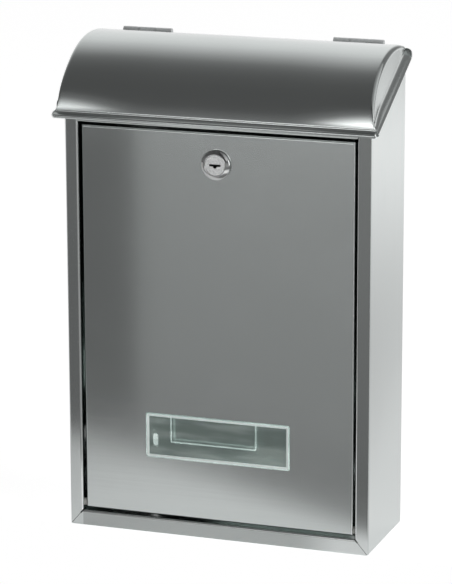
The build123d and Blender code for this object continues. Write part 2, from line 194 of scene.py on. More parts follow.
class LockBezel(bpy.types.PropertyGroup):
    """Sizes of the lock's rounded bezel, which fit the lock's solid"""

    foot: length("Foot", "Radius of the bezel on the door", 10.15)
    crest: length("Crest", "Radius of the bezel's foremost ring", 7.4)
    shoulder: length("Shoulder", "Height of the bezel's upright edge", 2.0)
    fullness: factor("Fullness", "Power that rounds the bezel's flank, flatter when larger", 1.7)
    bore: length("Bore", "Radius of the bezel round the plug", 6.95)
    stand: length("Stand", "How far the lock's housing stands out of the door", 3.0)
    proud: length("Proud", "How far the bezel stands out of the door", 3.6)
    bevel: length("Bevel", "Depth of the bevel round the plug", 0.5)
    # The keyway is painted black from this depth, as painted shade
    keyway: length("Keyway", "Depth behind the plug's face from which it is black", 0.1)
    crease: angle("Crease", "Angle between faces from which an edge looks sharp", 40)


class StudioStage(bpy.types.PropertyGroup):
    """Colour of the floor, and the camera"""

    paper: tint("Paper", "Colour of the floor", (0.9, 0.9, 0.9))
    camera_place: spot("Camera", "Where the camera stands", (0.6651, -1.9328, 0.5080))
    camera_aim: spot("Aim", "Point that the camera is turned to", (-0.00442, -0.04457, 0.00368))
    camera_roll: angle("Roll", "Turn of the camera about its view", -0.17)
    lens: FloatProperty(
        name="Lens",
        description="Focal length for a picture whose long side is 36 mm",
        subtype="DISTANCE_CAMERA",
        default=187.64,
    )


# Shader tools


def feed(tree, node, inputs):
    """Links each named input of a node to a socket, or gives it a value"""
    for key, value in inputs.items():
        if isinstance(value, bpy.types.NodeSocket):
            tree.links.new(value, node.inputs[key])
        else:
            node.inputs[key].default_value = value


def put(tree, kind, inputs=None, **settings):
    """Adds a node, sets it up and feeds its inputs"""
    made = tree.nodes.new(kind)
    for key, value in settings.items():
        setattr(made, key, value)
    feed(tree, made, inputs or {})
    return made


def calc(tree, operation, *values):
    """Result of a math node"""
    return put(tree, "ShaderNodeMath", dict(enumerate(values)), operation=operation).outputs[0]


def scaled(tree, place, factors):
    """Vector times another, part by part"""
    return put(tree, "ShaderNodeVectorMath", {0: place, 1: factors}, operation="MULTIPLY").outputs[0]


def split(tree, place):
    """The x, y and z of a vector"""
    return tuple(put(tree, "ShaderNodeSeparateXYZ", {0: place}).outputs)


def noise(tree, place, scale, detail):
    """Value of a cloudy noise at a place"""
    return put(tree, "ShaderNodeTexNoise", {"Vector": place, "Scale": scale, "Detail": detail}).outputs[0]


def between(tree, share, first, second):
    """Value between two others by a share"""
    return put(tree, "ShaderNodeMix", {0: share, 2: first, 3: second}).outputs[0]


def blended(tree, share, first, second):
    """Colour or vector between two others by a share"""
    first, second = (
        end if isinstance(end, bpy.types.NodeSocket) else (*end, 1.0) for end in (first, second)
    )
    return put(tree, "ShaderNodeMix", {0: share, 6: first, 7: second}, data_type="RGBA").outputs[2]


def ranged(tree, value, low, high, to_low, to_high):
    """Value carried from one range to another along an eased curve"""
    return put(
        tree,
        "ShaderNodeMapRange",
        {"Value": value, "From Min": low, "From Max": high, "To Min": to_low, "To Max": to_high},
        interpolation_type="SMOOTHSTEP",
    ).outputs[0]


def new_group(name, inputs, outputs):
    """Empty shader group with named sockets, and its two ends"""
    group = bpy.data.node_groups.new(name, "ShaderNodeTree")
    for socket, kind in inputs.items():
        group.interface.new_socket(socket, in_out="INPUT", socket_type=kind)
    for socket, kind in outputs.items():
        group.interface.new_socket(socket, in_out="OUTPUT", socket_type=kind)
    return group, group.nodes.new("NodeGroupInput").outputs, group.nodes.new("NodeGroupOutput")


def grain_group():
    """Brushing: noise drawn out along the grain, in fine scratches and in broader streaks"""
    group, given, out = new_group(
        "Brushed grain",
        {"Place": "NodeSocketVector", "Count": "NodeSocketVector"},
        {"Streak": "NodeSocketFloat", "Scratch": "NodeSocketFloat"},
    )
    fine = scaled(group, given["Place"], given["Count"])
    broad = put(group, "ShaderNodeVectorMath", {0: fine, "Scale": 0.22}, operation="SCALE").outputs[0]
    scratch = noise(group, fine, 1.0, 2.0)
    streak = noise(group, broad, 1.0, 3.0)
    both = calc(group, "ADD", calc(group, "MULTIPLY", scratch, 0.45), calc(group, "MULTIPLY", streak, 0.55))
    feed(group, out, {"Streak": ranged(group, both, 0.3, 0.7, 0.0, 1.0), "Scratch": scratch})
    return group


def handling_group():
    """Faint smears of handling: two sizes of cloudy noise"""
    group, given, out = new_group("Handling", {"Place": "NodeSocketVector"}, {"Smear": "NodeSocketFloat"})
    large = noise(group, given["Place"], 14.0, 2.0)
    small = noise(group, given["Place"], 60.0, 3.0)
    feed(group, out, {"Smear": ranged(group, calc(group, "MULTIPLY", large, small), 0.2, 0.4, 0.0, 1.0)})
    return group


def use_group(tree, name, maker, inputs):
    """Outputs of a shader group that is made once"""
    made = put(tree, "ShaderNodeGroup", node_tree=bpy.data.node_groups.get(name) or maker())
    feed(tree, made, inputs)
    return made.outputs


# Materials


def new_material(name):
    """Material with a bare Principled shader, its tree and its Object coordinates"""
    material = bpy.data.materials.new(name)
    material.use_nodes = True
    tree = material.node_tree
    shader = tree.nodes["Principled BSDF"]
    return material, tree, shader, put(tree, "ShaderNodeTexCoord").outputs["Object"]


def brushed(name, count, finish, turned=None, painted_light=None):
    """Brushed sheet whose scratches run where the count of scratches per metre is low.
    turned is a function that gives the count over the surface, and the last function paints light and shade
    onto the colour"""
    material, tree, shader, place = new_material(name)
    run = put(tree, "ShaderNodeCombineXYZ", dict(enumerate(count))).outputs[0]
    if turned:
        run = turned(tree, place, run)
    grain = use_group(tree, "Brushed grain", grain_group, {"Place": place, "Count": run})
    smear = use_group(tree, "Handling", handling_group, {"Place": place})["Smear"]
    colour = blended(tree, grain["Streak"], finish.dull_and_shaded, finish.bright)
    if painted_light:
        colour = painted_light(tree, place, colour)
    dullest = finish.roughness + finish.streaking / 2
    rough = calc(tree, "MULTIPLY_ADD", grain["Streak"], -finish.streaking, dullest)
    scratches = {"Strength": 0.5, "Distance": finish.grain_depth, "Height": grain["Scratch"]}
    level = count[0] < count[1]
    feed(
        tree,
        shader,
        {
            "Base Color": colour,
            "Roughness": calc(tree, "MULTIPLY_ADD", smear, finish.smearing, rough),
            "Metallic": 1.0,
            "Normal": put(tree, "ShaderNodeBump", scratches).outputs[0],
            "Anisotropic": finish.spread,
            "Anisotropic Rotation": 0.25 if level else 0.0,
        },
    )
    return material


def plain_metal(name, dark, light, roughness, cell, painted_light=None):
    """Metal of two close colours in a cloudy pattern of a cell's size, rougher where it is dark.
    The function given last paints light and shade onto the colour"""
    material, tree, shader, place = new_material(name)
    share = ranged(tree, noise(tree, place, 1 / cell, 4.0), 0.35, 0.65, 0.0, 1.0)
    colour = blended(tree, share, dark, light)
    if painted_light:
        colour = painted_light(tree, place, colour)
    rough = calc(tree, "MULTIPLY_ADD", share, -0.4 * roughness, 1.2 * roughness)
    feed(tree, shader, {"Base Color": colour, "Roughness": rough, "Metallic": 1.0})
    return material


def clear_plastic():
    """Clear moulded plastic with faint level bands, as the flow into a mould leaves them"""
    material, tree, shader, place = new_material("Clear window")
    bands = noise(tree, scaled(tree, place, (22.0, 60.0, 130.0)), 1.0, 2.0)
    share = ranged(tree, bands, 0.35, 0.65, 0.0, 1.0)
    feed(
        tree,
        shader,
        {
            "Base Color": blended(tree, share, (0.58, 0.68, 0.65), (0.90, 1.0, 0.96)),
            "Roughness": ranged(tree, bands, 0.3, 0.7, 0.03, 0.09),
            "Transmission Weight": 0.66,
            "IOR": 1.49,
        },
    )
    return material


def moulded_edge():
    """Pale edge of clear plastic, with a painted glow so that it looks lit behind the clear plate"""
    material, tree, shader, place = new_material("Moulded edge")
    cloud = noise(tree, place, 260.0, 3.0)
    feed(
        tree,
        shader,
        {
            "Base Color": blended(tree, cloud, (0.78, 0.86, 0.84), (0.98, 1.0, 1.0)),
            "Roughness": ranged(tree, cloud, 0.3, 0.7, 0.35, 0.2),
            # Painted glow, standing in for light that barely reaches the beads behind the clear plate
            "Emission Color": (0.84, 0.95, 0.92, 1.0),
            "Emission Strength": 0.3,
        },
    )
    return material


def washer_plastic():
    """Light plastic with a fine grain"""
    material, tree, shader, place = new_material("Washer plastic")
    cloud = noise(tree, place, 900.0, 2.0)
    colour = blended(tree, cloud, (0.74, 0.74, 0.70), (0.84, 0.84, 0.80))
    feed(tree, shader, {"Base Color": colour, "Roughness": ranged(tree, cloud, 0.3, 0.7, 0.45, 0.6)})
    return material


def wear(material, *names):
    """Gives a material to CAD nodes"""
    for name in names:
        slots = nodes[name].data.materials
        slots.clear()
        slots.append(material)


# Mesh tools


def eased(value, low, high):
    """Smooth step of an array from 0 at low to 1 at high"""
    share = np.clip((value - low) / (high - low), 0, 1)
    return share * share * (3 - 2 * share)


def steps(count):
    """Even shares up to 1, without 0"""
    return np.linspace(0, 1, count + 1)[1:]


def numbered(points, rows_close=False, columns_close=False):
    """Corner numbers of a grid of points, with the first row or column again at the end where it closes"""
    corner = np.arange(points.shape[0] * points.shape[1]).reshape(points.shape[:2])
    if rows_close:
        corner = np.concatenate([corner, corner[:1]])
    if columns_close:
        corner = np.concatenate([corner, corner[:, :1]], axis=1)
    return corner


def quads_of(corner):
    """Quads between each four neighbours of a grid of corner numbers"""
    quads = np.stack([corner[:-1, :-1], corner[1:, :-1], corner[1:, 1:], corner[:-1, 1:]], axis=-1)
    return quads.reshape(-1, 4)


def add_mesh(name, points, faces, material, crease=pi):
    """Object of a smooth mesh in one material, sharp where faces meet at more than the crease"""
    mesh = bpy.data.meshes.new(name)
    mesh.from_pydata(points.reshape(-1, 3), [], faces)
    mesh.polygons.foreach_set("use_smooth", np.ones(len(mesh.polygons), dtype=bool))
    mesh.set_sharp_from_angle(angle=crease)
    mesh.materials.append(material)
    made = bpy.data.objects.new(name, mesh)
    bpy.context.scene.collection.objects.link(made)
    return made


def shell(skin, thickness):
    """Closed shell under a skin: the grid, the same grid set in along its normals, and a strip at the rim"""
    normal = np.cross(np.gradient(skin, axis=0), np.gradient(skin, axis=1))
    normal /= np.maximum(np.linalg.norm(normal, axis=-1, keepdims=True), 1e-12)
    points = np.concatenate([skin.reshape(-1, 3), (skin - thickness * normal).reshape(-1, 3)])
    corner = numbered(skin)
    outer = quads_of(corner)
    inner = outer[:, ::-1] + corner.size
    rim = np.concatenate([corner[0, :-1], corner[:-1, -1], corner[-1, :0:-1], corner[:0:-1, 0]])
    after = np.roll(rim, -1)
    strip = np.stack([rim, after, after + corner.size, rim + corner.size], axis=-1)
    return points, np.concatenate([outer, inner, strip])


def plate(outline, front, rear, lean):
    """Plate: an outline in x and z, in order, set between two depths, its front coming forward by a share of
    the distance down from its top"""
    count = len(outline)
    front = front - lean * (outline[:, 1].max() - outline[:, 1])
    layer = [np.column_stack([outline[:, 0], y, outline[:, 1]]) for y in (front, np.full(count, rear))]
    index = np.arange(count)
    after = np.roll(index, -1)
    sides = np.stack([index, index + count, after + count, after], axis=-1)
    return np.concatenate(layer), [list(index), list(index[::-1] + count), *sides.tolist()]


def arc_corner(centre, radius, start):
    """Quarter circle about a centre, turning left from a starting angle"""
    turn = start + np.linspace(0, pi / 2, 9)
    return np.column_stack([centre[0] + radius * np.cos(turn), centre[1] + radius * np.sin(turn)])


def rounded_path(corners, radius, starts):
    """Points and side directions along a path that turns left through quarter circles about corner centres"""
    turn = np.concatenate([start + np.linspace(0, pi / 2, 9) for start in starts])
    ways = np.column_stack([np.cos(turn), np.sin(turn)])
    return np.repeat(np.array(corners), 9, axis=0) + radius * ways, ways


def swept(name, centres, ways, depth, reach, material, closed):
    """Bead along a path in x and z: round each point of the path runs an ellipse whose half sizes are reach,
    along the path's own side direction, in x and z, and in y"""
    turn = np.linspace(0, 2 * pi, 16, endpoint=False)
    side = reach[0] * np.cos(turn)[:, None, None] * ways + centres
    y = np.broadcast_to(depth + reach[1] * np.sin(turn)[:, None], side.shape[:2])
    points = np.stack([side[..., 0], y, side[..., 1]], axis=-1)
    corner = numbered(points, rows_close=True, columns_close=closed)
    caps = [] if closed else [corner[-2::-1, 0].tolist(), corner[:-1, -1].tolist()]
    return add_mesh(name, points, quads_of(corner).tolist() + caps, material)


# Pieces


class MAILBOX_OT_box(bpy.types.Operator):
    """Brushes the box upright, with its lower front flange level between the mitres, and paints shade, light
    and highlights onto its front
    """

    bl_idname = "mailbox.box"
    bl_label = "Box sheet"

    def execute(self, context):
        finish, front = context.scene.mailbox_sheet, context.scene.mailbox_front
        low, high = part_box("body_wrap")
        upright, level = (SCRATCHES, SCRATCHES, 16.0), (16.0, SCRATCHES, SCRATCHES)

        def turned(tree, place, run):
            """Upright grain, level on the lower flange below its mitres"""
            x, _, z = split(tree, place)
            inward = calc(tree, "SUBTRACT", high.x, calc(tree, "ABSOLUTE", x))
            up = calc(tree, "SUBTRACT", z, low.z)
            mitre = calc(tree, "MULTIPLY", inward, front.flange / front.strip)
            below_mitre = calc(tree, "GREATER_THAN", mitre, up)
            below_sill = calc(tree, "LESS_THAN", up, front.flange)
            return blended(tree, calc(tree, "MULTIPLY", below_mitre, below_sill), run, level)

        def painted_light(tree, place, colour):
            """Painted shade over the front frame, lighter on the left flange, painted light at the right
            flange's foot, and painted highlights along the folds round the door
            """
            x, y, z = split(tree, place)
            on_front = calc(tree, "LESS_THAN", y, low.y + front.face)
            on_left = calc(tree, "LESS_THAN", x, front.strip - high.x)
            # Painted shade over the front frame, the left flange kept lighter
            painted_frame_shade = blended(tree, on_left, front.dull_and_shaded, front.left)
            # Painted light on the foot of the right flange
            foot = ranged(tree, z, low.z + front.foot_start, low.z + front.foot_end, 1.0, 0.0)
            foot = calc(tree, "MULTIPLY", foot, ranged(tree, x, 0.5 * high.x, 0.85 * high.x, 0.0, 1.0))
            painted_frame_shade = blended(tree, foot, painted_frame_shade, front.foot)
            # Painted highlight along the folds round the door
            inside = calc(tree, "LESS_THAN", calc(tree, "ABSOLUTE", x), high.x - front.strip + front.fold)
            above = calc(tree, "GREATER_THAN", z, low.z + front.flange - front.fold)
            fold_highlight_mask = calc(tree, "MULTIPLY", inside, above)
            return blended(tree, on_front, colour, blended(tree, fold_highlight_mask, painted_frame_shade, front.painted_fold_highlight))

        wear(brushed("Brushed box", upright, finish, turned, painted_light), "body_wrap")
        wear(brushed("Brushed rail", level, finish), "top_rail")
        wear(brushed("Brushed back", upright, finish), "back_panel")
        return {"FINISHED"}


class MAILBOX_OT_door(bpy.types.Operator):
    """Brushes the door from side to side, and paints highlights along its upper and right folds"""

    bl_idname = "mailbox.door"
    bl_label = "Door sheet"

    def execute(self, context):
        finish, front = context.scene.mailbox_sheet, context.scene.mailbox_front
        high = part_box("door_panel")[1]

        def painted_light(tree, place, colour):
            """Painted highlights along the upper and right folds"""
            x, _, z = split(tree, place)
            # Masks of the painted highlights along the top and right folds
            by_top = calc(tree, "GREATER_THAN", z, high.z - front.fold)
            by_side = calc(tree, "GREATER_THAN", x, high.x - front.fold)
            return blended(tree, calc(tree, "MAXIMUM", by_top, by_side), colour, front.painted_fold_highlight)

        level = (14.0, SCRATCHES, SCRATCHES)
        wear(brushed("Brushed door", level, finish, painted_light=painted_light), "door_panel")
        return {"FINISHED"}


# Strips of columns over the lid, from its middle to an end
TOP, EDGE, WALL, FLARE, BEND, FACE = range(6)


def lid_columns(lid, end):
    """Columns of half the lid: over the crown's top and a quarter circle at its edge, down the end wall, out
    along a flaring arc, round the lip's bend and down its leaning face. Gives each column's place across, its
    strip, the share or angle reached in that strip and its drop over the lip's edge, and also the places of
    the wall's foot and the lip's start, and the height of the flare"""
    quarter = steps(8) * pi / 2
    flare = steps(12) * lid.flare_angle
    over = np.linspace(pi / 2 - lid.flare_angle, pi / 2 - lid.side_angle, 9)[1:]
    wall_foot = lid.wall + lid.draft
    over_drop = lid.lip_bend * (sin(lid.flare_angle) - np.cos(over))
    over_reach = lid.lip_bend * (np.sin(over) - cos(lid.flare_angle))
    side = steps(3) * (lid.lip_height - over_drop[-1])
    lip_start = end - over_reach[-1] - side[-1] * tan(lid.side_angle)
    flare_radius = (lip_start - wall_foot) / (1 - cos(lid.flare_angle))
    top = np.linspace(0, 1, 34) * (lid.wall - lid.crown_edge)
    edge = lid.wall - lid.crown_edge * (1 - np.sin(quarter))
    wall = lid.wall + steps(12) * lid.draft
    flared = wall_foot + flare_radius * (1 - np.cos(flare))
    bend = lip_start + over_reach
    face = bend[-1] + side * tan(lid.side_angle)
    strips = (top, edge, wall, flared, bend, face)
    return SimpleNamespace(
        across=np.concatenate(strips),
        strip=np.repeat(np.arange(len(strips)), [len(strip) for strip in strips]),
        share=np.concatenate([0 * top, quarter, steps(12), flare, 0 * bend, 0 * face]),
        drop=np.concatenate([0 * top, 0 * edge, 0 * wall, 0 * flared, over_drop, over_drop[-1] + side]),
        wall_foot=wall_foot,
        lip_start=lip_start,
        flare_rise=flare_radius * sin(lid.flare_angle),
    )


def lid_rows(lid, low, high, across):
    """Rows amid the lid as v along the rim's slope and w above it: along the crown's arc, a tighter arc that
    tucks its foot under, a hollow arc, the top of the lip, its bend and its face. Towards the ends the crown
    swells along its normal. Also gives the arc from the crown's foot and the drop over the lip's edge"""
    rise, run = sin(lid.slope), cos(lid.slope)
    axis_v = lid.crown_depth * run - lid.crown_drop * rise
    axis_w = -lid.crown_depth * rise - lid.crown_drop * run
    turned = pi / 2 - lid.slope + lid.tuck_angle
    inner = lid.crown_radius - lid.tuck
    start = acos((lid.lip_height + lid.root * (1 - cos(turned)) - axis_w - lid.tuck * cos(turned)) / inner)
    rear = high.y - (low.y + lid.crown_depth)
    first = -asin(rear / lid.crown_radius) - lid.slope - 1e-6
    crown, foot, hollow = (
        np.linspace(*ends)[1:, None] for ends in ((first, start, 58), (start, turned, 13), (turned, 0, 11))
    )
    crown_v = axis_v - lid.crown_radius * np.sin(crown)
    crown_w = axis_w + lid.crown_radius * np.cos(crown)
    tuck_v = axis_v - inner * sin(start) - lid.tuck * np.sin(foot)
    tuck_w = axis_w + inner * cos(start) + lid.tuck * np.cos(foot)
    hollow_v = tuck_v[-1] - lid.root * (sin(turned) - np.sin(hollow))
    hollow_w = tuck_w[-1] + lid.root * (cos(turned) - np.cos(hollow))

    # Swelling over the crown's foot at the ends
    lean = np.concatenate([crown, foot, hollow])
    arc = np.concatenate([(start - crown) * lid.crown_radius, 0 * foot, 0 * hollow])
    below = 1 - (1 - arc / lid.bulge_rise) ** 2
    above = 1 - eased(arc, lid.bulge_rise, lid.bulge_end)
    swell = lid.bulge * np.where(arc < lid.bulge_rise, below, above)
    swell = swell * eased(across, lid.bulge_start, lid.wall)
    v = np.concatenate([crown_v, tuck_v, hollow_v]) - swell * np.sin(lean)
    w = np.concatenate([crown_w, tuck_w, hollow_w]) + swell * np.cos(lean)

    # Lip
    quarter = steps(8)[:, None] * pi / 2
    ledge_v = v[-1:] + steps(4)[:, None] * (lid.lip_bend - v[-1:])
    bend_v = np.repeat(lid.lip_bend * (1 - np.sin(quarter)), len(across), axis=1)
    face_v = np.zeros((3, len(across)))
    lip_v = np.concatenate([ledge_v, bend_v, face_v])
    bend_drop = lid.lip_bend * (1 - np.cos(quarter))
    face_drop = lid.lip_bend + steps(3)[:, None] * (lid.lip_height - lid.lip_bend)
    return SimpleNamespace(
        v=np.concatenate([v, lip_v]),
        w=np.concatenate([w, np.full(lip_v.shape, lid.lip_height)]),
        arc=arc,
        drop=np.concatenate([0 * lean, 0 * ledge_v[:, :1], bend_drop, face_drop]),
    )


def lid_fall(lid, columns, stand):
    """Fall of each column from the crown, in all as high as the crown stands over the lip: a quarter circle,
    a straight wall and a flaring arc. Where the crown stands low, both arcs shrink"""
    strip, share = columns.strip, columns.share
    scale = np.minimum(1, stand / (lid.crown_edge_fall + columns.flare_rise))
    edge_end = lid.crown_edge_fall * scale
    flare_start = stand - columns.flare_rise * scale
    falls = {
        EDGE: edge_end * (1 - np.cos(share)),
        WALL: edge_end + (flare_start - edge_end) * share,
        FLARE: flare_start + (stand - flare_start) * np.sin(share) / sin(lid.flare_angle),
        BEND: stand,
        FACE: stand,
    }
    return np.select([strip == number for number in falls], list(falls.values()), 0.0)


def pressed_skin(lid, low, high):
    """Outer skin of the lid as a grid, rows from the rear to the front of the lip, columns from end to end.
    The rows amid the lid are carried across it, the columns fall from them at the ends, the end walls spread
    towards the crown's foot, the lip's front corners are rounded in plan, and its edge drops all round"""
    rise, run = sin(lid.slope), cos(lid.slope)
    columns = lid_columns(lid, high.x)
    rows = lid_rows(lid, low, high, columns.across)
    v, w, above_lip = rows.v, rows.w, len(rows.arc)
    across = columns.across * np.ones_like(v)
    y = low.y + v * run - w * rise
    z = low.z + v * rise + w * run
    lip_z = low.z + (y - low.y) * rise / run + lid.lip_height / run
    z = z - lid_fall(lid, columns, np.maximum(z - lip_z, 0))

    # Rounded corners
    plan_v = v.copy()
    plan_v[:above_lip] = 2 * lid.lip_corner
    a = (across - (high.x - lid.lip_corner)) / lid.lip_corner
    b = (lid.lip_corner - plan_v) / lid.lip_corner
    corner = (a > 0) & (b > 0)
    shrink = np.where(corner, np.maximum(a, b) / np.sqrt(np.where(corner, a * a + b * b, 1)), 1)
    x = np.where(corner, high.x - lid.lip_corner + lid.lip_corner * a * shrink, across)
    inset = np.where(corner, lid.lip_corner * b * (1 - shrink), 0)

    # Spread of the end walls
    spread = eased(columns.across, lid.wall - 2 * lid.splay_end, lid.wall)
    lip_start, wall_foot = columns.lip_start, columns.wall_foot
    spread = spread * np.clip((lip_start - columns.across) / (lip_start - wall_foot), 0, 1)
    x[:above_lip] += lid.splay * (1 - eased(rows.arc, 0, lid.splay_end)) * spread

    # Drop over the lip's edge, square to the rim's slope in front and straight down at the ends
    drop = np.maximum(columns.drop, rows.drop)
    in_front = (rows.drop > 0) | corner
    y = y + inset * run + np.where(in_front, drop * rise, 0)
    z = z + inset * rise - np.where(in_front, drop * run, drop / run)
    half = np.stack([x, y, z], axis=-1)
    return np.concatenate([half[:, :0:-1] * (-1, 1, 1), half], axis=1)


def tail_outline(lid, upper):
    """Rear flange in x and z: a straight upper edge, and lower corners rounded by quarter circles"""
    half, radius, lower = lid.tail_width / 2, lid.tail_corner, upper - lid.tail_depth
    return np.concatenate(
        [
            [(half, upper), (-half, upper)],
            arc_corner((-half + radius, lower + radius), radius, pi),
            arc_corner((half - radius, lower + radius), radius, 1.5 * pi),
        ]
    )


def ear_outline(lid, end, foot):
    """Right plate that ends the lip, in x and z: its upper outer corner is rounded by a quarter circle"""
    inner, top, radius = end - lid.ear_width, foot + lid.ear_height, lid.ear_corner
    rounded = arc_corner((end - radius, top - radius), radius, 0.0)
    return np.concatenate([[(inner, foot), (end, foot)], rounded, [(inner, top)]])


class MAILBOX_OT_lid(bpy.types.Operator):
    """Presses the lid: a smooth skin of even thickness, the rear flange, and the plates that end the lip"""

    bl_idname = "mailbox.lid"
    bl_label = "Pressed lid"

    def execute(self, context):
        lid = context.scene.mailbox_lid
        low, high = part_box("lid")
        skin = pressed_skin(lid, low, high)
        points, faces = shell(skin, lid.sheet)
        faces = faces.tolist()
        tail = tail_outline(lid, skin[0, skin.shape[1] // 2, 2] - lid.sheet / 2)
        ear = ear_outline(lid, high.x, low.z + (high.y - low.y) * tan(lid.slope))
        for outline, lean in ((tail, 0.0), (ear, lid.ear_lean), ((ear * (-1, 1))[::-1], lid.ear_lean)):
            more, more_faces = plate(outline, high.y - lid.sheet, high.y, lean)
            faces += [[corner + len(points) for corner in face] for face in more_faces]
            points = np.concatenate([points, more])
        level = (4.0, SCRATCHES, SCRATCHES)
        material = brushed("Brushed lid", level, context.scene.mailbox_sheet)
        made = add_mesh("pressed_lid", points, faces, material, lid.crease)
        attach(made, "lid")
        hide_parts("lid")
        return {"FINISHED"}


class MAILBOX_OT_window(bpy.types.Operator):
    """Makes the name window of clear moulded plastic, with paler beads round it and along its card pocket"""

    bl_idname = "mailbox.window"
    bl_label = "Name window"

    def execute(self, context):
        wear(clear_plastic(), "name_window")
        edge = moulded_edge()
        window = context.scene.mailbox_window
        low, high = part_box("name_window")
        half_x, half_z = window.width / 2 - window.bead, window.height / 2 - window.bead
        middle = (low.z + high.z) / 2
        radius = window.corner
        corners = [
            (side * (half_x - radius), middle + up * (half_z - radius))
            for side, up in ((1, 1), (-1, 1), (-1, -1), (1, -1))
        ]
        rim = rounded_path(corners, radius, (0.0, pi / 2, pi, 1.5 * pi))
        face = low.y + window.proud
        made = [swept("window_rim", *rim, face, (window.bead, window.proud + window.cover), edge, True)]
        left, right = (window.pocket_shift + side * window.pocket_width / 2 for side in (-1, 1))
        foot = middle + window.height / 2 - window.pocket_height
        bead_reach = (window.pocket_bead, window.pocket_bead)
        for name, inset, depth in (
            ("pocket_front", 0.0, face + window.pocket_bead),
            ("pocket_ledge", 1.5 * window.pocket_bead, face + window.ledge),
        ):
            near, far, sill = left + inset, right - inset, foot + inset
            corners = [(near + radius, sill + radius), (far - radius, sill + radius)]
            points, ways = rounded_path(corners, radius, (pi, 1.5 * pi))
            points = np.concatenate([[(near, middle + half_z)], points, [(far, middle + half_z)]])
            ways = np.concatenate([[(-1, 0)], ways, [(1, 0)]])
            made.append(swept(name, points, ways, depth, bead_reach, edge, False))
        for bead in made:
            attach(bead, "door")
        return {"FINISHED"}


def bezel_profile(lock):
    """Radius and height round the bezel: up its edge, over a flank that is a quarter circle with its sine and
    cosine raised to a power, to the foremost ring, and down a quarter ellipse into the bore"""
    turn = np.linspace(0, pi / 2, 13)
    flank_radius = lock.crest + (lock.foot - lock.crest) * np.cos(turn) ** lock.fullness
    flank_height = lock.shoulder + (lock.proud - lock.shoulder) * np.sin(turn) ** lock.fullness
    bevel_radius = lock.crest - (lock.crest - lock.bore) * np.sin(turn[1:])
    bevel_height = lock.proud - lock.bevel * (1 - np.cos(turn[1:]))
    flank = np.column_stack([flank_radius, flank_height])
    bevel = np.column_stack([bevel_radius, bevel_height])
    return np.concatenate([[(lock.foot, 0.0)], flank, bevel, [(lock.bore, 0.0)]])


def turned_ring(profile, foot_y, centre_z):
    """Closed profile of radius and height, carried round an axis along y"""
    around = np.linspace(0, 2 * pi, 72, endpoint=False)
    x = profile[:, :1] * np.sin(around)
    y = np.broadcast_to(foot_y - profile[:, 1:], x.shape)
    z = centre_z + profile[:, :1] * np.cos(around)
    return np.stack([x, y, z], axis=-1)


class MAILBOX_OT_lock(bpy.types.Operator):
    """Plates the lock, rounds its bezel and paints its keyway black as painted shade"""

    bl_idname = "mailbox.lock"
    bl_label = "Lock"

    def execute(self, context):
        lock = context.scene.mailbox_lock
        low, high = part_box("lock_plug")

        def painted_keyway_shade(tree, place, colour):
            """Painted shade: black past the plug's face, in the keyway"""
            inside = calc(tree, "GREATER_THAN", split(tree, place)[1], low.y + lock.keyway)
            return blended(tree, inside, colour, (0.01, 0.01, 0.01))

        bright = plain_metal("Bright casting", (0.52, 0.53, 0.53), (0.62, 0.63, 0.63), 0.12, 4 * MM)
        zinc = plain_metal("Zinc plating", (0.50, 0.50, 0.46), (0.66, 0.66, 0.61), 0.35, 3 * MM)
        satin = plain_metal("Satin plug", (0.70, 0.71, 0.71), (0.95, 0.96, 0.96), 0.5, 0.8 * MM, painted_keyway_shade)
        wear(bright, "lock_housing")
        wear(zinc, "lock_nut", "lock_cam", "cam_washer", "cam_screw", "door_pivot_left", "door_pivot_right")
        wear(satin, "lock_plug")
        door_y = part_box("lock_housing")[0].y + lock.stand
        points = turned_ring(bezel_profile(lock), door_y, (low.z + high.z) / 2)
        faces = quads_of(numbered(points, rows_close=True, columns_close=True))
        made = add_mesh("lock_bezel", points, faces.tolist(), bright, lock.crease)
        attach(made, "door")
        return {"FINISHED"}


class MAILBOX_OT_hinges(bpy.types.Operator):
    """Dulls the hinges, and moulds the washers of the door's pivots"""

    bl_idname = "mailbox.hinges"
    bl_label = "Hinges and washers"

    def execute(self, context):
        rolled = plain_metal("Rolled hinge", (0.88, 0.90, 0.90), (0.96, 0.98, 0.98), 0.75, 3 * MM)
        wear(rolled, *[name for name in nodes if name.startswith("hinge")])
        wear(washer_plastic(), "pivot_washer_left", "pivot_washer_right")
        return {"FINISHED"}


# Stage


def grid_mesh(name, points, material):
    """Object from a grid of points, facing the side from which a row runs right and a column runs up"""
    return add_mesh(name, points, quads_of(numbered(points))[:, ::-1].tolist(), material)


def dark_glow(tree, parts):
    """Dim, and dimmer towards the object"""
    return ranged(tree, parts[0], -0.40, -0.15, 0.23, 0.15)


def bright_glow(tree, parts):
    """Fading upwards from a bright foot, with faint upright streaks, and brighter towards the right"""
    fade = calc(tree, "POWER", ranged(tree, parts[2], 0.10, 0.66, 1.0, 0.0), 2.0)
    fade = calc(tree, "ADD", fade, ranged(tree, parts[2], 0.06, 0.16, 1.4, 0.0))
    streak = put(tree, "ShaderNodeTexNoise", {"W": parts[0], "Scale": 70.0}, noise_dimensions="1D")
    fade = calc(tree, "MULTIPLY", fade, ranged(tree, streak.outputs[0], 0.35, 0.65, 0.92, 1.06))
    return calc(tree, "MULTIPLY_ADD", fade, ranged(tree, parts[0], -0.5, -0.3, 1.0, 1.7), 0.15)


def leaning_glow(tree, parts):
    """Brighter towards its foot at the right"""
    return ranged(tree, parts[0], 0.3, 0.79, 0.25, 0.75)


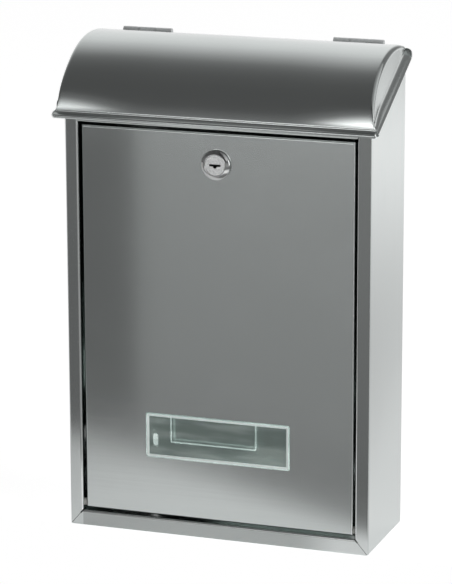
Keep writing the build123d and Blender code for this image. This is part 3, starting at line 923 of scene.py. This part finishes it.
class MAILBOX_OT_stage(bpy.types.Operator):
    """Sets the floor, the lamps, the surroundings and the camera"""

    bl_idname = "mailbox.stage"
    bl_label = "Studio"

    def execute(self, context):
        scene = context.scene
        stage = scene.mailbox_stage
        scene.view_settings.view_transform = "Standard"
        self.floor(stage)
        self.surroundings(scene)
        self.soft_box(scene)
        self.cards()
        self.camera(scene, stage)
        return {"FINISHED"}

    def floor(self, stage):
        """Flat sheet: straight lines from points of a bent front edge to points of a straight rear edge. The
        part before the box is kept from the camera, because the open door hangs below it"""
        edge_slope, edge_shift, edge_limit = 0.503, -0.207, -0.16
        reach, gap = 3.0, 0.2 * MM
        across = np.linspace(-reach, reach, 25)
        front_y = np.minimum(edge_shift + edge_slope * across, edge_limit)
        box_y = np.full(len(across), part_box("body_wrap")[0].y)
        rear_y = np.full(len(across), reach)
        material = self.paper(stage, edge_slope, edge_shift, edge_limit)
        for name, start, end in (("floor", box_y, rear_y), ("floor_front", front_y, box_y)):
            depth = np.linspace(start, end, 9)
            level = np.full(depth.shape, cad_box[0].z - gap)
            points = np.stack([np.broadcast_to(across, depth.shape), depth, level], axis=-1)
            sheet = grid_mesh(name, points, material)
            sheet.visible_camera = name == "floor"

    def paper(self, stage, edge_slope, edge_shift, edge_limit):
        """White paper, dark along its front edge. It glows for the camera, and for the sheet that mirrors it
        in tones of its own: rising to the right before the box, and to the rear past the box's right side"""
        material, tree, shader, place = new_material("Paper floor")
        x, y, _ = split(tree, place)
        fibre = noise(tree, place, 300.0, 2.0)
        tone = blended(tree, fibre, stage.paper, tuple(min(1.0, part * 1.03) for part in stage.paper))
        edge = calc(tree, "MINIMUM", calc(tree, "MULTIPLY_ADD", x, edge_slope, edge_shift), edge_limit)
        lit = ranged(tree, calc(tree, "SUBTRACT", y, edge), 0.0, 0.058, 0.0, 1.0)
        past = calc(tree, "GREATER_THAN", calc(tree, "MULTIPLY_ADD", y, -0.2056, x), 0.1536)
        before = ranged(tree, x, -0.20, -0.02, 0.36, 0.58)
        beyond = ranged(tree, y, 0.35, 1.30, 0.36, 0.93)
        beyond = calc(tree, "SUBTRACT", beyond, ranged(tree, y, 1.3, 2.2, 0.0, 0.45))
        mirrored = between(tree, lit, 0.28, between(tree, past, before, beyond))
        path = put(tree, "ShaderNodeLightPath").outputs
        direct = calc(tree, "MAXIMUM", path["Is Camera Ray"], path["Is Transmission Ray"])
        glow = calc(tree, "MULTIPLY", direct, calc(tree, "MULTIPLY_ADD", lit, -0.22, 1.0))
        feed(
            tree,
            shader,
            {
                "Base Color": blended(tree, lit, (0.04, 0.04, 0.04), tone),
                "Roughness": 0.9,
                "Specular IOR Level": 0.0,
                "Emission Color": WHITE,
                "Emission Strength": calc(tree, "MULTIPLY_ADD", path["Is Glossy Ray"], mirrored, glow),
            },
        )
        return material

    def surroundings(self, scene):
        """White behind the object and for the camera, and a dim room in front and overhead, with a light band
        low in front"""
        world = bpy.data.worlds.new("Studio")
        world.use_nodes = True
        scene.world = world
        tree = world.node_tree
        x, y, z = split(tree, put(tree, "ShaderNodeTexCoord").outputs["Generated"])
        backdrop = put(tree, "ShaderNodeFloatCurve", {"Value": calc(tree, "MULTIPLY_ADD", y, 0.5, 0.5)})
        curve = backdrop.mapping.curves[0]
        for place, tone in ((0.3, 0.11), (0.45, 0.14), (0.55, 0.2), (0.64, 0.37), (0.75, 0.66), (0.89, 0.96)):
            curve.points.new(place, tone)
        curve.points[0].location = (0.0, 0.11)
        curve.points[-1].location = (1.0, 1.0)
        backdrop.mapping.update()
        low_band = ranged(tree, z, -0.2, 0.4, 0.26, 0.0)
        for start, end, tone in ((-0.31, -0.19, -0.12), (-0.5, -0.4, 0.9), (-0.75, -0.62, -0.9)):
            low_band = calc(tree, "ADD", low_band, ranged(tree, z, start, end, tone, 0.0))
        front = ranged(tree, y, -0.5, 0.0, 1.0, 0.0)
        to_right = ranged(tree, x, -0.2, 0.2, 0.0, 1.0)
        right = calc(tree, "MULTIPLY", to_right, ranged(tree, z, -0.06, 0.14, 0.0, 1.0))
        behind = calc(tree, "MULTIPLY", backdrop.outputs[0], calc(tree, "MULTIPLY_ADD", right, -0.75, 1.0))
        room = calc(tree, "MULTIPLY_ADD", low_band, front, behind)
        path = put(tree, "ShaderNodeLightPath").outputs
        direct = calc(tree, "MAXIMUM", path["Is Camera Ray"], path["Is Transmission Ray"])
        strength = calc(tree, "MAXIMUM", room, direct)
        feed(tree, tree.nodes["Background"], {"Color": WHITE, "Strength": strength})

    def soft_box(self, scene):
        """Lamp at the right, turned to the object"""
        lamp = bpy.data.lights.new("right_soft_box", "AREA")
        lamp.shape = "RECTANGLE"
        lamp.size, lamp.size_y = 1.4, 1.9
        lamp.energy = 17.0
        made = bpy.data.objects.new("right_soft_box", lamp)
        made.location = (1.9, -0.7, 0.7)
        made.rotation_euler = (-made.location).to_track_quat("-Z", "Y").to_euler()
        made.visible_camera = False
        scene.collection.objects.link(made)

    def cards(self):
        """A dark card near the object at the left, a bright one in front, and one that leans over it at the
        right"""
        floor = cad_box[0].z
        dark_up = (0.0, 0.0, 0.112 - floor)
        self.card("Dark card", dark_glow, (-0.147, -0.305, floor), (-0.423, -0.197, floor), dark_up)
        self.card("Bright card", bright_glow, (0.35, -1.2, 0.06), (-1.35, -1.2, 0.06), (0.0, 0.0, 0.69))
        self.card("Leaning card", leaning_glow, (0.79, 0.42, 0.36), (0.79, -1.2, 0.36), (-0.69, 0.0, 1.14))

    def card(self, name, glow, edge, end, up):
        """Card that shows in reflections alone: the straight line between two corners, carried up"""
        material, tree, shader, place = new_material(name)
        feed(
            tree,
            shader,
            {
                "Base Color": (0.0, 0.0, 0.0, 1.0),
                "Roughness": 1.0,
                "Emission Color": WHITE,
                "Emission Strength": glow(tree, split(tree, place)),
            },
        )
        line = np.linspace(edge, end, 5)
        card = grid_mesh(name.lower().replace(" ", "_"), np.stack([line, line + up]), material)
        card.visible_camera = False
        card.visible_diffuse = False
        card.visible_transmission = False
        card.visible_shadow = False

    def camera(self, scene, stage):
        """Camera that stands and looks as the picture was taken"""
        camera = bpy.data.cameras.new("camera")
        camera.lens = stage.lens
        camera.sensor_width = 36.0
        made = bpy.data.objects.new("camera", camera)
        place, aim = Vector(stage.camera_place), Vector(stage.camera_aim)
        turn = (aim - place).to_track_quat("-Z", "Y").to_matrix().to_4x4()
        made.matrix_world = Matrix.Translation(place) @ turn @ Matrix.Rotation(stage.camera_roll, 4, "Z")
        scene.collection.objects.link(made)
        scene.camera = made


class MAILBOX_PT_sidebar(bpy.types.Panel):
    """Lists the mailbox's operators"""

    bl_idname = "MAILBOX_PT_sidebar"
    bl_label = "Mailbox"
    bl_space_type = "VIEW_3D"
    bl_region_type = "UI"
    bl_category = "Mailbox"

    def draw(self, context):
        for made in makers:
            self.layout.operator(made.bl_idname)


makers = (
    MAILBOX_OT_box,
    MAILBOX_OT_door,
    MAILBOX_OT_lid,
    MAILBOX_OT_window,
    MAILBOX_OT_lock,
    MAILBOX_OT_hinges,
    MAILBOX_OT_stage,
)
groups = {
    "mailbox_sheet": SheetFinish,
    "mailbox_front": FrontFrame,
    "mailbox_lid": LidPressing,
    "mailbox_window": WindowMoulding,
    "mailbox_lock": LockBezel,
    "mailbox_stage": StudioStage,
}


def register():
    """Registers the classes and gives their properties to the scene"""
    for kind in (*groups.values(), *makers, MAILBOX_PT_sidebar):
        bpy.utils.register_class(kind)
    for name, kind in groups.items():
        setattr(bpy.types.Scene, name, PointerProperty(type=kind))


def unregister():
    """Takes the properties and the classes away again"""
    for name in groups:
        delattr(bpy.types.Scene, name)
    for kind in reversed((*groups.values(), *makers, MAILBOX_PT_sidebar)):
        bpy.utils.unregister_class(kind)


def main():
    """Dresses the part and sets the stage"""
    register()
    for kind in makers:
        group, name = kind.bl_idname.split(".")
        getattr(getattr(bpy.ops, group), name)()


if __name__ == "__main__":
    main()
